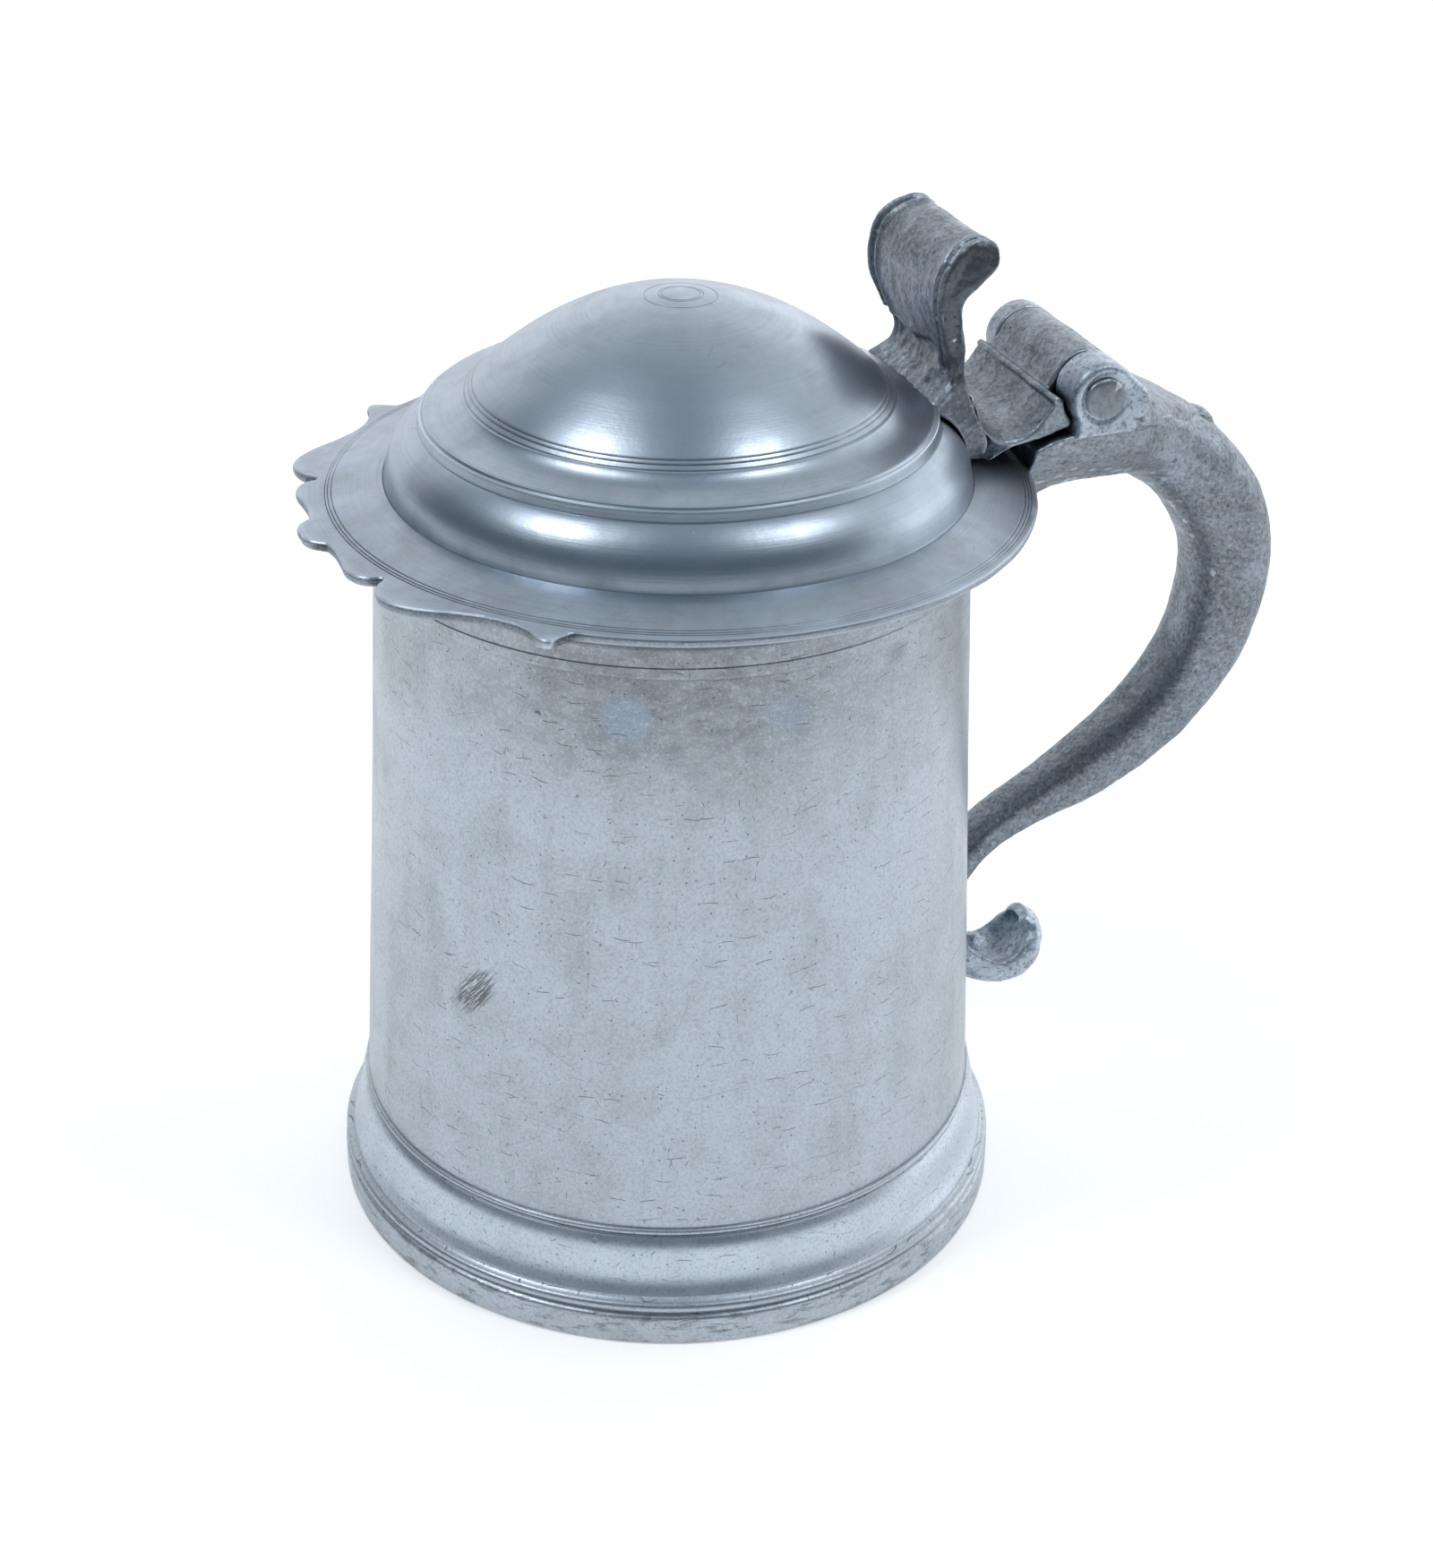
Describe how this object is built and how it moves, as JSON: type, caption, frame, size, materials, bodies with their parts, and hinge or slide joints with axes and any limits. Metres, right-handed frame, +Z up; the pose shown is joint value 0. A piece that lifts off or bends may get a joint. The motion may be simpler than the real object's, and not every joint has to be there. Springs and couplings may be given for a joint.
{
  "type": "pewter tankard",
  "caption": "Tapered drinking tankard on a moulded foot with a swan-neck handle, curled thumbpiece and hinged stepped dome lid with a toothed lip.",
  "frame": {"origin": "on the table, at the middle of the whole object's footprint box; the drum's own axis is 27.3 mm towards -X", "axes": "+X from the toothed lip towards the handle, +Y along the hinge pin towards the short far lug, +Z up"},
  "size_m": [0.1864, 0.1242, 0.1809],
  "materials": {
    "turned_pewter": "old turned pewter, satin, with mottled grey patina, fine scratches and small pits",
    "lid_pewter": "smooth turned pewter, soft sheen, slightly darker and bluer than the drum",
    "cast_pewter": "darker as-cast pewter with a coarse pitted skin and worn bright edges",
    "pin_pewter": "peened pin end, dull grey metal with hammer marks"
  },
  "bodies": {
    "vessel": {"drum": "turned_pewter", "foot_ring": "turned_pewter", "base_plate": "turned_pewter", "handle": "cast_pewter", "handle_terminal": "cast_pewter", "handle_tongue": "cast_pewter", "hinge_lug_near": "cast_pewter", "hinge_lug_far": "cast_pewter", "hinge_pin": "pin_pewter"},
    "lid": {"lid_cover": "lid_pewter", "thumbpiece": "cast_pewter", "lid_hinge_arm": "cast_pewter"}
  },
  "joints": [
    {"name": "lid_hinge", "type": "hinge", "parent": "vessel", "child": "lid", "pos_m": [0.046, 0, 0.1519], "axis": [0, 1, 0], "range_deg": [0, 146]}
  ]
}
